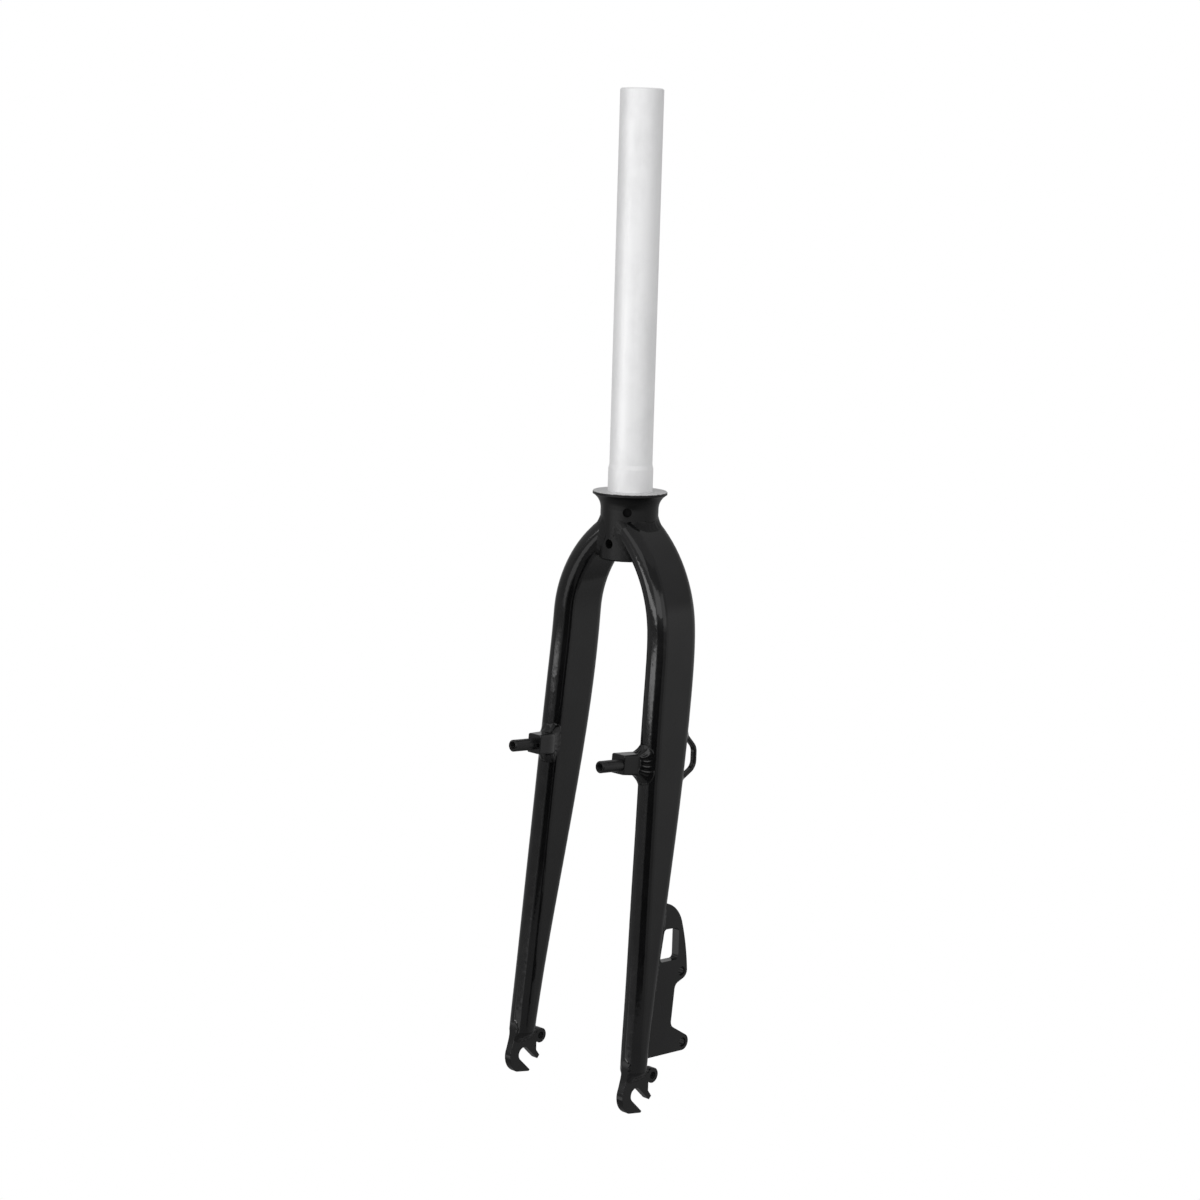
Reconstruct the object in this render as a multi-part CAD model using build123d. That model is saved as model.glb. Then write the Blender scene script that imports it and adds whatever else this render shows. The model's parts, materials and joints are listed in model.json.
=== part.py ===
from build123d import *
import math
import os

# Rigid bicycle fork: a straight steerer tube, a flared crown collar, two tapered flat-oval legs,
# hooked wheel dropouts, pivot bosses for a rim brake, a disc brake mount and a brake hose guide.
# Millimetres. The origin lies on the steerer axis, on top of the crown flange where the headset
# race sits. +Z runs up the steerer, -Y points forward and +X is the rider's left.

# Steerer tube and crown race seat
STEERER_DIAMETER = 28.6
STEERER_BORE = 23.4
STEERER_LENGTH = 262.0
STEERER_CHAMFER = 0.8
SEAT_DIAMETER = 30.0
SEAT_HEIGHT = 15.0
SEAT_TAPER = 3.0
ROOT_DIAMETER = 29.2
STEERER_RECESS = 1.5

# Crown collar
FLANGE_DIAMETER = 49.8
RIM_HEIGHT = 2.0
RIM_CHAMFER = 0.5
FLARE_HEIGHT = 9.5
NECK_DIAMETER = 38.7
CROWN_HEIGHT = 45.5
CROWN_EDGE = 1.0
BOLT_HOLE_DIAMETER = 6.4
BOLT_HOLE_DROP = 34.2
PIN_HOLE_DEPTH = 2.6
PIN_HOLE_UPPER_DIAMETER = 6.0
PIN_HOLE_UPPER_DROP = 12.6
PIN_HOLE_UPPER_TURN = 38.0
PIN_HOLE_LOWER_DIAMETER = 5.0
PIN_HOLE_LOWER_DROP = 21.0
PIN_HOLE_LOWER_TURN = 44.0

# Wheel position
AXLE_DROP = 396.5
AXLE_OFFSET = 37.0
HUB_WIDTH = 100.0

# Legs
LEG_THICKNESS = 16.4
LEG_DEPTH = 38.8
LEG_CORNER = 7.8
LEG_WALL = 2.4
LEG_SHOULDER = 43.0
ENTRY_OFFSET = 4.5
ENTRY_DROP = 22.5
ENTRY_ANGLE = 58.0
ENTRY_DEPTH = 36.0
ENTRY_FRONT = 17.8
SHOULDER_FRONT = 22.1
TIP_FRONT = 46.0
TAPER_START_DROP = 145.0
TIP_ABOVE_AXLE = 12.5
TIP_DEPTH = 17.6
TIP_THICKNESS = 17.0
TIP_CORNER = 8.2
TIP_ROUND = 5.0
TIP_PLUG = 14.0
BEND_SECTIONS = 6
TAPER_SECTIONS = 5

# Dropouts, measured from the axle, Y to the rear and Z up
DROPOUT_THICKNESS = 5.5
SLOT_WIDTH = 9.5
SLOT_ANGLE = -44.5
JAW_LENGTH = 14.2
HOOK_LENGTH = 13.4
HOOK_RADIUS = 13.2
HOOK_START_ANGLE = 155.0
HOOK_END_ANGLE = 240.0
HOOK_TIP = 1.4
JAW_TIP = 3.0
JAW_REAR = 12.3
TONGUE_HEIGHT = 24.0
TONGUE_PROUD = 0.4
TONGUE_SHOULDER = 2.0
EYELET_REAR = 16.3
EYELET_RISE = 9.6
EYELET_RADIUS = 5.2
EYELET_HOLE = 5.0

# Rim brake bosses and pivot studs
BOSS_SPACING = 80.0
BOSS_ABOVE_AXLE = 223.6
BOSS_FACE_FRONT = 46.1
BOSS_INBOARD = 7.4
BOSS_OUTBOARD = 4.4
BOSS_ABOVE = 7.0
BOSS_BELOW = 6.0
BOSS_CORNER = 1.2
BOSS_EDGE = 0.5
BOSS_BLOCK = 9.0
BOSS_BLOCK_FLARE = 0.2
BOSS_WAIST_SHARE = 0.5
BOSS_WAIST_FLARE = 0.45
BOSS_FOOT_INBOARD = 2.5
BOSS_FOOT_OUTBOARD = 10.5
BOSS_FOOT_ABOVE = 8.0
BOSS_FOOT_BELOW = 9.5
BOSS_FOOT_CORNER = 4.0
BOSS_ROOT = 3.0
SPRING_HOLE = 2.4
SPRING_HOLE_INBOARD = 5.5
SPRING_HOLE_DEPTH = 5.0
STUD_DIAMETER = 8.0
STUD_LENGTH = 19.2
STUD_CHAMFER = 0.8
STUD_SHANK_DIAMETER = 7.0
STUD_SHANK = 9.0
STUD_THREAD_DIAMETER = 6.0
STUD_THREAD_DEPTH = 14.0

# Disc brake mount, measured from the axle, Y to the rear and Z up
MOUNT_THICKNESS = 6.0
MOUNT_OUTBOARD = 4.0
MOUNT_HOLE = 6.4
MOUNT_HOLE_SPACING = 51.0
MOUNT_LOWER_REAR = 47.3
MOUNT_LOWER_RISE = 25.0
MOUNT_TILT = 3.8
MOUNT_LOBE = 5.6
MOUNT_UPPER_SLOPE = 18.0
MOUNT_LOWER_SLOPE = 32.0
MOUNT_TOP_RISE = 126.0
MOUNT_SHOULDER_REAR = 0.695
MOUNT_SHOULDER_DROP = 0.31
MOUNT_ARCH_BULGE = 1.0
MOUNT_NECK_TOP_REAR = 37.7
MOUNT_NECK_FOOT_REAR = 34.5
MOUNT_SCALLOP = 5.0
MOUNT_FOOT_RISE = 22.5
MOUNT_ROOT = 4.0
WINDOW_STRIP = 1.0
WINDOW_REAR = 40.0
WINDOW_BOTTOM_RISE = 86.4
WINDOW_TOP_RISE = 108.5
WINDOW_DROP = 1.3
WINDOW_CORNER = 2.6

# Hose guide loop
GUIDE_WIDTH = 4.0
GUIDE_THICKNESS = 2.6
GUIDE_EDGE = 0.8
GUIDE_OUTBOARD = 1.8
GUIDE_TOP_DROP = 157.4
GUIDE_BOTTOM_DROP = 190.3
GUIDE_REACH = 10.6
GUIDE_BEND = 7.5
GUIDE_ROOT = 3.0
GUIDE_TOP_SLOPE = 11.5
GUIDE_BOTTOM_SLOPE = 8.2

AXLE_Z = -AXLE_DROP
AXLE_Y = -AXLE_OFFSET
DROPOUT_INNER = HUB_WIDTH / 2
DROPOUT_MIDDLE = DROPOUT_INNER + DROPOUT_THICKNESS / 2
LEG_TIP_Z = AXLE_Z + TIP_ABOVE_AXLE
BOSS_Z = AXLE_Z + BOSS_ABOVE_AXLE


def leg_line():
    """Bend radius, tilt of the straight run and its upper end, from the crown entry and the wheel."""
    entry = math.radians(ENTRY_ANGLE)
    tilt = 0.0
    for _ in range(20):
        radius = (LEG_SHOULDER - ENTRY_OFFSET) / (math.cos(tilt) - math.cos(entry))
        shoulder_z = -ENTRY_DROP - radius * (math.sin(entry) - math.sin(tilt))
        tilt = math.atan2(DROPOUT_MIDDLE - LEG_SHOULDER, shoulder_z - LEG_TIP_Z)
    return radius, tilt, shoulder_z


BEND_RADIUS, LEG_TILT, SHOULDER_Z = leg_line()
LEG_RAKE = math.atan2(TIP_FRONT - SHOULDER_FRONT, SHOULDER_Z - LEG_TIP_Z)


def blend(start, end, share):
    return start + (end - start) * share


def leg_centre_x(z):
    """Sideways place of the straight run's centre line at a height."""
    return LEG_SHOULDER + (SHOULDER_Z - z) * math.tan(LEG_TILT)


def leg_front(z):
    """Front edge of the straight run at a height."""
    return -blend(SHOULDER_FRONT, TIP_FRONT, (SHOULDER_Z - z) / (SHOULDER_Z - LEG_TIP_Z))


def taper_share(z):
    """Share of the taper done at a height: slow at both ends, even between."""
    share = (-TAPER_START_DROP - z) / (-TAPER_START_DROP - LEG_TIP_Z)
    share = min(max(share, 0.0), 1.0)
    return (share + share * share * (3 - 2 * share)) / 2


def leg_depth(z):
    return blend(LEG_DEPTH, TIP_DEPTH, taper_share(z))


def leg_rear(z):
    return leg_front(z) + leg_depth(z)


def leg_section(x, z, turn, front, depth, thickness, corner, wall):
    """Rounded section across the leg, turned with the bend and shrunk by the wall."""
    plane = Plane(
        origin=(x, front + depth / 2, z),
        x_dir=(math.cos(turn), 0, math.sin(turn)),
        z_dir=(-math.sin(turn), 0, math.cos(turn)),
    )
    return plane * RectangleRounded(thickness - 2 * wall, depth - 2 * wall, corner - wall)


def bend_sections(wall):
    """Sections from inside the crown round the bend, the depth easing out to the full leg."""
    entry = math.radians(ENTRY_ANGLE)
    sections = []
    for index in range(BEND_SECTIONS):
        share = index / BEND_SECTIONS
        turn = blend(entry, LEG_TILT, share)
        rest = (1 - share) ** 2
        x = LEG_SHOULDER - BEND_RADIUS * (math.cos(LEG_TILT) - math.cos(turn))
        z = SHOULDER_Z + BEND_RADIUS * (math.sin(turn) - math.sin(LEG_TILT))
        front = -blend(SHOULDER_FRONT, ENTRY_FRONT, rest)
        depth = blend(LEG_DEPTH, ENTRY_DEPTH, rest)
        sections.append(leg_section(x, z, turn, front, depth, LEG_THICKNESS, LEG_CORNER, wall))
    return sections


def straight_section(z, wall):
    share = taper_share(z)
    return leg_section(
        leg_centre_x(z), z, LEG_TILT, leg_front(z), leg_depth(z),
        blend(LEG_THICKNESS, TIP_THICKNESS, share), blend(LEG_CORNER, TIP_CORNER, share), wall,
    )


def leg_tube(wall, end_z):
    """Solid form of the leg, shrunk by the wall, from inside the crown down to a height."""
    sections = bend_sections(wall)
    sections.append(straight_section(SHOULDER_Z, wall))
    for index in range(TAPER_SECTIONS + 1):
        z = blend(-TAPER_START_DROP, end_z, index / TAPER_SECTIONS)
        sections.append(straight_section(z, wall))
    return loft(sections)


def steerer_tube():
    """Turned tube: root pressed into the crown, race seat landing on the flange, bare steerer above."""
    bore = STEERER_BORE / 2
    radius = STEERER_DIAMETER / 2
    seat = SEAT_DIAMETER / 2
    root = ROOT_DIAMETER / 2
    foot = -CROWN_HEIGHT + STEERER_RECESS
    profile = Polyline(
        (bore, foot),
        (root, foot),
        (root, 0),
        (seat, 0),
        (seat, SEAT_HEIGHT),
        (radius, SEAT_HEIGHT + SEAT_TAPER),
        (radius, STEERER_LENGTH - STEERER_CHAMFER),
        (radius - STEERER_CHAMFER, STEERER_LENGTH),
        (bore, STEERER_LENGTH),
        close=True,
    )
    tube = revolve(Plane.XZ * make_face(profile), Axis.Z)
    return tube - crown_bolt_hole()


def crown_bolt_hole():
    """Cross hole through the crown, front to back, for a mudguard or lamp bolt."""
    place = Plane((0, 0, -BOLT_HOLE_DROP), x_dir=(1, 0, 0), z_dir=(0, -1, 0))
    return place * Cylinder(BOLT_HOLE_DIAMETER / 2, 2 * FLANGE_DIAMETER)


def crown_pin_hole(diameter, drop, turn):
    """Small blind hole in the neck, turned from straight ahead towards the rider's left."""
    angle = math.radians(turn)
    outward = Vector(math.sin(angle), -math.cos(angle), 0)
    middle = outward * (NECK_DIAMETER / 2) + Vector(0, 0, -drop)
    return Plane(middle, z_dir=outward) * Cylinder(diameter / 2, 2 * PIN_HOLE_DEPTH)


def collar_form(bore):
    """Turned collar: flat flange under the race, concave flare, straight neck."""
    neck = NECK_DIAMETER / 2
    flange = FLANGE_DIAMETER / 2
    flare_end = (neck, -RIM_HEIGHT - FLARE_HEIGHT)
    rim_foot = (flange, -RIM_HEIGHT)
    outline = [
        Line((bore, 0), (bore, -CROWN_HEIGHT)),
        Line((bore, -CROWN_HEIGHT), (neck - CROWN_EDGE, -CROWN_HEIGHT)),
        Line((neck - CROWN_EDGE, -CROWN_HEIGHT), (neck, -CROWN_HEIGHT + CROWN_EDGE)),
        Line((neck, -CROWN_HEIGHT + CROWN_EDGE), flare_end),
        TangentArc(flare_end, rim_foot, tangent=(0, 1)),
        Line(rim_foot, (flange, -RIM_CHAMFER)),
        Line((flange, -RIM_CHAMFER), (flange - RIM_CHAMFER, 0)),
        Line((flange - RIM_CHAMFER, 0), (bore, 0)),
    ]
    return revolve(Plane.XZ * make_face(outline), Axis.Z)


def crown():
    collar = collar_form(ROOT_DIAMETER / 2)
    collar -= crown_bolt_hole()
    collar -= crown_pin_hole(PIN_HOLE_UPPER_DIAMETER, PIN_HOLE_UPPER_DROP, PIN_HOLE_UPPER_TURN)
    collar -= crown_pin_hole(PIN_HOLE_LOWER_DIAMETER, PIN_HOLE_LOWER_DROP, PIN_HOLE_LOWER_TURN)
    return collar


def side_plane(x):
    """Sketch plane on the rider's left, its origin at the axle, Y to the rear and Z up."""
    return Plane((x, AXLE_Y, AXLE_Z), x_dir=(0, 1, 0), z_dir=(1, 0, 0))


def leg_front_from_axle(rise):
    """Front of the leg, measured back from the axle, at a height above it."""
    return leg_front(AXLE_Z + rise) - AXLE_Y


def leg_rear_from_axle(rise):
    """Rear of the leg, measured back from the axle, at a height above it."""
    return leg_rear(AXLE_Z + rise) - AXLE_Y


def slot_point(along, across):
    """Point in the axle's plane, along the wheel slot and across it towards the rear jaw."""
    angle = math.radians(SLOT_ANGLE)
    y = along * math.cos(angle) - across * math.sin(angle)
    z = along * math.sin(angle) + across * math.cos(angle)
    return y, z


def dropout_outline():
    """Hooked plate round the wheel slot, with a tongue up through the slit end of the leg."""
    half = SLOT_WIDTH / 2
    shoulder_rise = TIP_ABOVE_AXLE + TONGUE_SHOULDER
    tongue_front = (leg_front_from_axle(TONGUE_HEIGHT) - TONGUE_PROUD, TONGUE_HEIGHT)
    tongue_rear = (leg_rear_from_axle(TONGUE_HEIGHT) + TONGUE_PROUD, TONGUE_HEIGHT)
    tongue_foot = (leg_rear_from_axle(TIP_ABOVE_AXLE) + TONGUE_PROUD, TIP_ABOVE_AXLE)
    shoulder = (leg_front_from_axle(shoulder_rise) - TONGUE_PROUD, shoulder_rise)
    hook = CenterArc((0, 0), HOOK_RADIUS, HOOK_START_ANGLE, HOOK_END_ANGLE - HOOK_START_ANGLE)
    hook_tip = slot_point(HOOK_LENGTH, -half - HOOK_TIP)
    jaw_tip = slot_point(JAW_LENGTH, half + JAW_TIP)
    return [
        Line(tongue_rear, tongue_front),
        Line(tongue_front, shoulder),
        Line(shoulder, hook @ 0),
        hook,
        Line(hook @ 1, hook_tip),
        Line(hook_tip, slot_point(HOOK_LENGTH, 0)),
        Line(slot_point(HOOK_LENGTH, 0), slot_point(JAW_LENGTH, 0)),
        Line(slot_point(JAW_LENGTH, 0), jaw_tip),
        Line(jaw_tip, (JAW_REAR, 0)),
        Line((JAW_REAR, 0), (JAW_REAR, TIP_ABOVE_AXLE)),
        Line((JAW_REAR, TIP_ABOVE_AXLE), tongue_foot),
        Line(tongue_foot, tongue_rear),
    ]


def left_dropout():
    """Forged plate, slotted for the axle, with a threaded eyelet behind."""
    eyelet = Pos(EYELET_REAR, EYELET_RISE)
    slot = Circle(SLOT_WIDTH / 2)
    slot += Rot(0, 0, SLOT_ANGLE) * Pos(JAW_LENGTH, 0) * Rectangle(2 * JAW_LENGTH, SLOT_WIDTH)
    plate = make_face(dropout_outline()) + eyelet * Circle(EYELET_RADIUS)
    plate -= slot
    plate -= eyelet * Circle(EYELET_HOLE / 2)
    return extrude(side_plane(DROPOUT_INNER) * plate, DROPOUT_THICKNESS)


def leg_form():
    """Outer form of the left leg with its lower end rounded over."""
    form = leg_tube(0, LEG_TIP_Z)
    return fillet(form.faces().sort_by(Axis.Z)[0].edges(), TIP_ROUND)


def left_leg(form, dropout):
    """Hollow leg, mitred round the crown's neck and slit for the dropout."""
    hollow = leg_tube(LEG_WALL, LEG_TIP_Z + TIP_PLUG)
    below = Pos(0, 0, -CROWN_HEIGHT) * Cylinder(NECK_DIAMETER / 2, 2 * LEG_DEPTH)
    return form - hollow - collar_form(0) - below - dropout


def boss_face():
    """Plane of the boss's front face, square to the raked leg, its origin on the stud's axis."""
    return Plane(
        (BOSS_SPACING / 2, -BOSS_FACE_FRONT, BOSS_Z),
        x_dir=(1, 0, 0),
        z_dir=(0, -math.cos(LEG_RAKE), math.sin(LEG_RAKE)),
    )


def boss_section(behind, flare):
    """Section of the boss behind its face, between the block (flare 0) and the foot (flare 1)."""
    inboard = blend(BOSS_INBOARD, BOSS_FOOT_INBOARD, flare)
    outboard = blend(BOSS_OUTBOARD, BOSS_FOOT_OUTBOARD, flare)
    above = blend(BOSS_ABOVE, BOSS_FOOT_ABOVE, flare)
    below = blend(BOSS_BELOW, BOSS_FOOT_BELOW, flare)
    corner = blend(BOSS_CORNER, BOSS_FOOT_CORNER, flare)
    place = Pos((outboard - inboard) / 2, (above - below) / 2, -behind)
    return boss_face() * place * RectangleRounded(inboard + outboard, above + below, corner)


def left_brake_boss(leg):
    """Forged boss: an upright block that carries the stud, flaring into a foot on the leg."""
    foot = (BOSS_FACE_FRONT + leg_front(BOSS_Z)) / math.cos(LEG_RAKE) + BOSS_ROOT
    waist = blend(BOSS_BLOCK, foot, BOSS_WAIST_SHARE)
    block_end = boss_section(BOSS_BLOCK, BOSS_BLOCK_FLARE)
    boss = loft([boss_section(0, 0), block_end], ruled=True)
    boss += loft([block_end, boss_section(waist, BOSS_WAIST_FLARE), boss_section(foot, 1)])
    boss = fillet(boss.faces().sort_by(Axis.Y)[0].edges(), BOSS_EDGE)
    spring = boss_face() * Pos(-SPRING_HOLE_INBOARD, 0, 0)
    boss -= boss_face() * Cylinder(STUD_SHANK_DIAMETER / 2, 2 * STUD_SHANK)
    boss -= spring * Cylinder(SPRING_HOLE / 2, 2 * SPRING_HOLE_DEPTH)
    return boss - leg


def left_brake_stud():
    """Turned pivot stud: shank in the boss, bearing post seated on its face, threaded end."""
    post = STUD_DIAMETER / 2
    shank = STUD_SHANK_DIAMETER / 2
    thread = STUD_THREAD_DIAMETER / 2
    profile = Polyline(
        (0, -STUD_SHANK),
        (shank, -STUD_SHANK),
        (shank, 0),
        (post, 0),
        (post, STUD_LENGTH - STUD_CHAMFER),
        (post - STUD_CHAMFER, STUD_LENGTH),
        (thread, STUD_LENGTH),
        (thread, STUD_LENGTH - STUD_THREAD_DEPTH),
        (0, STUD_LENGTH - STUD_THREAD_DEPTH),
        close=True,
    )
    return boss_face() * revolve(Plane.XZ * make_face(profile), Axis.Z)


def lobe_point(centre, angle):
    """Point on the rim of a lobe, its angle counted from the rear upwards."""
    turn = math.radians(angle)
    return centre.X + MOUNT_LOBE * math.cos(turn), centre.Y + MOUNT_LOBE * math.sin(turn)


def mount_outline(lower, upper):
    """Bracket behind the leg: an arched arm to the upper lobe, a scallop, and the lower lobe."""
    top_front = (leg_rear_from_axle(MOUNT_TOP_RISE) - MOUNT_ROOT, MOUNT_TOP_RISE)
    top_rear = (leg_rear_from_axle(MOUNT_TOP_RISE), MOUNT_TOP_RISE)
    foot_front = (leg_rear_from_axle(MOUNT_FOOT_RISE) - MOUNT_ROOT, MOUNT_FOOT_RISE)
    upper_rear = lobe_point(upper, 0)
    upper_foot = lobe_point(upper, MOUNT_UPPER_SLOPE - 90)
    lower_top = lobe_point(lower, 90 - MOUNT_LOWER_SLOPE)
    lower_foot = lobe_point(lower, -90)
    shoulder = (
        blend(top_rear[0], upper_rear[0], MOUNT_SHOULDER_REAR),
        blend(top_rear[1], upper_rear[1], MOUNT_SHOULDER_DROP),
    )
    arch = SagittaArc(shoulder, upper_rear, MOUNT_ARCH_BULGE)
    fall = math.tan(math.radians(MOUNT_UPPER_SLOPE))
    climb = math.tan(math.radians(MOUNT_LOWER_SLOPE))
    neck_top = upper_foot[1] - (upper_foot[0] - MOUNT_NECK_TOP_REAR) * fall
    neck_foot = lower_top[1] + (lower_top[0] - MOUNT_NECK_FOOT_REAR) * climb
    scallop = FilletPolyline(
        upper_foot,
        (MOUNT_NECK_TOP_REAR, neck_top),
        (MOUNT_NECK_FOOT_REAR, neck_foot),
        lower_top,
        radius=MOUNT_SCALLOP,
    )
    return [
        Line(foot_front, top_front),
        Line(top_front, top_rear),
        TangentArc(shoulder, top_rear, tangent=-(arch % 0)),
        arch,
        ThreePointArc(upper_rear, lobe_point(upper, -45), upper_foot),
        scallop,
        ThreePointArc(lower_top, lobe_point(lower, 0), lower_foot),
        Line(lower_foot, foot_front),
    ]


def mount_window():
    """Opening in the arm, with a strip left along the leg."""
    top_front = leg_rear_from_axle(WINDOW_TOP_RISE) + WINDOW_STRIP
    foot_front = leg_rear_from_axle(WINDOW_BOTTOM_RISE) + WINDOW_STRIP
    window = Polygon(
        (foot_front, WINDOW_BOTTOM_RISE),
        (WINDOW_REAR, WINDOW_BOTTOM_RISE - WINDOW_DROP),
        (WINDOW_REAR, WINDOW_TOP_RISE - WINDOW_DROP),
        (top_front, WINDOW_TOP_RISE),
        align=None,
    )
    return fillet(window.vertices(), WINDOW_CORNER)


def disc_brake_mount(leg, dropout):
    lower = Vector(MOUNT_LOWER_REAR, MOUNT_LOWER_RISE)
    tilt = math.radians(MOUNT_TILT)
    upper = lower + Vector(-math.sin(tilt), math.cos(tilt)) * MOUNT_HOLE_SPACING
    plate = make_face(mount_outline(lower, upper)) - mount_window()
    for hole in (lower, upper):
        plate -= Pos(hole.X, hole.Y) * Circle(MOUNT_HOLE / 2)
    inner = DROPOUT_INNER + MOUNT_OUTBOARD - MOUNT_THICKNESS
    return extrude(side_plane(inner) * plate, MOUNT_THICKNESS) - leg - dropout


def hose_guide(leg):
    """Loop of bent flat bar behind the left leg, both ends welded to it."""
    top = -GUIDE_TOP_DROP
    bottom = -GUIDE_BOTTOM_DROP
    middle = (top + bottom) / 2
    x = leg_centre_x(middle) + GUIDE_OUTBOARD
    reach = leg_rear(middle) + GUIDE_REACH
    path = FilletPolyline(
        (x, leg_rear(top) - GUIDE_ROOT, top),
        (x, reach, top - GUIDE_TOP_SLOPE),
        (x, reach, bottom + GUIDE_BOTTOM_SLOPE),
        (x, leg_rear(bottom) - GUIDE_ROOT, bottom),
        radius=GUIDE_BEND,
    )
    start = Plane(path @ 0, x_dir=(1, 0, 0), z_dir=path % 0)
    return sweep(start * RectangleRounded(GUIDE_WIDTH, GUIDE_THICKNESS, GUIDE_EDGE), path) - leg


def fork_pieces():
    dropout = left_dropout()
    form = leg_form()
    boss = left_brake_boss(form)
    sided = {
        "leg": left_leg(form, dropout),
        "dropout": dropout,
        "brake_boss": boss,
        "brake_stud": left_brake_stud(),
    }
    pieces = {
        "steerer_tube": steerer_tube(),
        "crown": crown(),
        "disc_brake_mount": disc_brake_mount(form, dropout),
        "hose_guide": hose_guide(form),
    }
    for name, piece in sided.items():
        pieces[f"left_{name}"] = piece
        pieces[f"right_{name}"] = mirror(piece, about=Plane.YZ)
    return pieces


if __name__ == "__main__":
    os.makedirs("parts", exist_ok=True)
    for node, solid in fork_pieces().items():
        export_step(solid, f"parts/{node}.step")
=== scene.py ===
import json
import math

import bmesh
import bpy
from bpy.props import FloatProperty, FloatVectorProperty, IntProperty, PointerProperty
from bpy.types import Operator, Panel, PropertyGroup
from mathutils import Matrix, Vector
from mathutils.bvhtree import BVHTree


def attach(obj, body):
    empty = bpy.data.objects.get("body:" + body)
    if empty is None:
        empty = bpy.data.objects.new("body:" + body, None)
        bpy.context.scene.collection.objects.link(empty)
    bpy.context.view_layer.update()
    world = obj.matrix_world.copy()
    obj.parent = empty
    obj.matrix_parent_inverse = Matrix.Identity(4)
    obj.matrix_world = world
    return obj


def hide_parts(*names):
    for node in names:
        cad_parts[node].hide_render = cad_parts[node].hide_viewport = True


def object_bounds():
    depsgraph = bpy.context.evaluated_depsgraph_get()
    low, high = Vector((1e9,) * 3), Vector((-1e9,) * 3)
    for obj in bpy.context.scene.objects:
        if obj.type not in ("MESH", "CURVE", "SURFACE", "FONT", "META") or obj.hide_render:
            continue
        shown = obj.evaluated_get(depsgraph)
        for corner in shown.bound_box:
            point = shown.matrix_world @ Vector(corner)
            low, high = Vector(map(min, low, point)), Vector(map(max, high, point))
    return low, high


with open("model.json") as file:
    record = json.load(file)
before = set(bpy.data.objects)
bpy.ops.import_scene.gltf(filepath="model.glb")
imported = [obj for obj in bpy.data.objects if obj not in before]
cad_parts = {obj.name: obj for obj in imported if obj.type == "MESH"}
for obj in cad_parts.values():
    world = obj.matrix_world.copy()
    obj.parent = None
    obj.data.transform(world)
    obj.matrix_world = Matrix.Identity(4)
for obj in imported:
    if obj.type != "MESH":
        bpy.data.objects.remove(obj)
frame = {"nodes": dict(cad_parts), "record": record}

bl_info = {
    "name": "Rigid Bicycle Fork",
    "version": (1, 0, 0),
    "blender": (4, 5, 0),
    "location": "3D View > Sidebar > Fork",
    "description": "Dresses a rigid bicycle fork: black paint, bare steerer, welds, threads and a studio",
    "category": "Object",
}

CAD_BOX = [list(corner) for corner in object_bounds()]
BODY = "root"
SIDES = ("left", "right")
MOUNTS = {mount["name"]: mount for mount in frame["record"]["mounts"]}

MERGE_DISTANCE = 2e-6
TOUCH_DISTANCE = 1.2e-4
FLAT_ANGLE = math.radians(0.4)
EDGE_ANGLE = math.radians(32)
EDGE_SEGMENTS = 3

# Finishes: a noise scale counts per metre, and lengths are in metres
PLAIN_SPECULAR = 0.5
SHADE_SPECULAR = 0.1
SHADE_ROUGHNESS = 0.7
FINE_RELIEF = 0.0001
FLOW_SCALE = 38
GLOSS_SCALE = 85
PEEL_SCALE = 620
PEEL_RELIEF = 0.0004
DRAWN_SCALE = 1500
DRAWN_STRETCH = (1, 1, 0.02)
DRAWN_BUMP = 0.12
HANDLED_SCALE = 46
HANDLED_STRETCH = (1, 1, 0.55)
BARE_METALLIC = 0.6
FOOT_PAINT_AND_SHADE = (-0.026, -0.022)
RIM_EDGE = (-0.00042, -0.00022)
RIM_RAGGED = 0.00012
RIM_SCALE = 420
HOLE_RADII = (0.0189, 0.0193)
STUD_DARK = (0.006, 0.006, 0.0063)
STUD_PALE = (0.012, 0.012, 0.0124)
STUD_ROUGHNESS = (0.24, 0.36)
STUD_PATCH_SCALE = 240
TURNED_SCALE = 2600
TURNED_STRETCH = (0.05, 1, 0.05)
TURNED_BUMP = 0.1

# Welds and threads: widths, crest and root in leg lengths, toe sink and ring radius in metres
WELD_WIDTHS = (0.82, 1.12)
WELD_CREST = 0.10
WELD_ROOT = -0.5
WELD_TOE_SINK = 0.00016
WELD_BOW_OF_PITCH = 0.45
WELD_STEP_OF_PITCH = 0.14
WELD_RING_POINTS = 20
WELD_RING_RADIUS = 0.001
WELD_UNEVEN_SCALE = 160
WELD_SEED_STEP = 1.7
SEAM_LEAST_POINTS = 8
SEAM_PASSES = 3
SIDE_PASSES = 6
TOE_PASSES = 2
SIDE_HINT = 0.5
THREAD_RIDGE_OF_PITCH = 0.42
THREAD_TURN_POINTS = 28
THREAD_RING_POINTS = 6

# Studio: azimuths in degrees from straight ahead towards the rider's left, lengths in metres
KEY_SIZE = (3.4, 0.48)
KEY_AZIMUTH = -10
KEY_DISTANCE = 3.0
KEY_HEIGHT = -0.03
FILL_SIZE = (1.6, 1.6)
FILL_PLACE = (0.3, -0.5, 1.7)
CAMERA_SECTOR = (20, 108)
FLAG_SECTOR = (28, 77)
STEERER_SECTOR = (28, 72)
REAR_SECTOR = (108, 270)
RIGHT_SECTOR = (270, 315)
AHEAD_SECTOR = (315, 380)
FLAG_DISTANCE = 0.4
STEERER_CARD_DISTANCE = 1.2
SCREEN_DISTANCE = 1.25
FAR_DISTANCE = 3.3
CAMERA_SCREEN_TOP = 0.5
CEILING_HEIGHT = 1.2
LEVEL_CARD_RADIUS = 1.3
FLOOR_CARD_GAP = 0.01
CARD_STEPS = 24
LEVEL_CARD_STEPS = 48
FLOOR_REACH = 14.0
FLOOR_GRAIN_SCALE = 30
FLOOR_GRAIN_TONE = 0.985
FLOOR_ROUGHNESS = 0.8
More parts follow.
